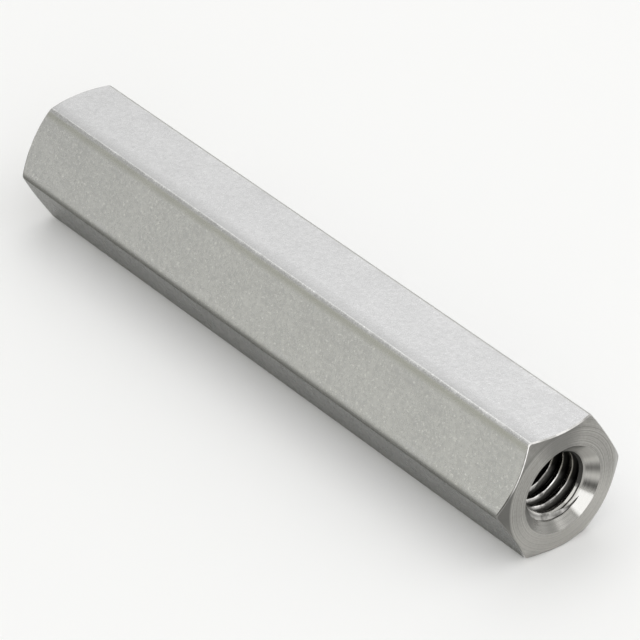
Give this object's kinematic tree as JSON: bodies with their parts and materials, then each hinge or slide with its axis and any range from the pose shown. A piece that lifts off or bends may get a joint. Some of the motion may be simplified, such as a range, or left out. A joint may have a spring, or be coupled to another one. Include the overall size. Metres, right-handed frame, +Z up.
{
  "type": "hex spacer",
  "caption": "Hexagonal metal spacer bar with turned, chamfered ends and a countersunk tapped hole in each end, for holding boards or panels apart.",
  "frame": {"origin": "on the ground, below the middle of the bar's length and width", "axes": "+X along the bar's length and its holes, +Y across the bar from corner to corner, +Z up from the flat that it lies on"},
  "size_m": [0.04, 0.008, 0.007],
  "materials": {
    "hex_spacer": "matt drawn flats, fine turned ends, bright countersink and thread"
  },
  "bodies": {
    "root": {"hex_spacer": "hex_spacer"}
  },
  "joints": []
}
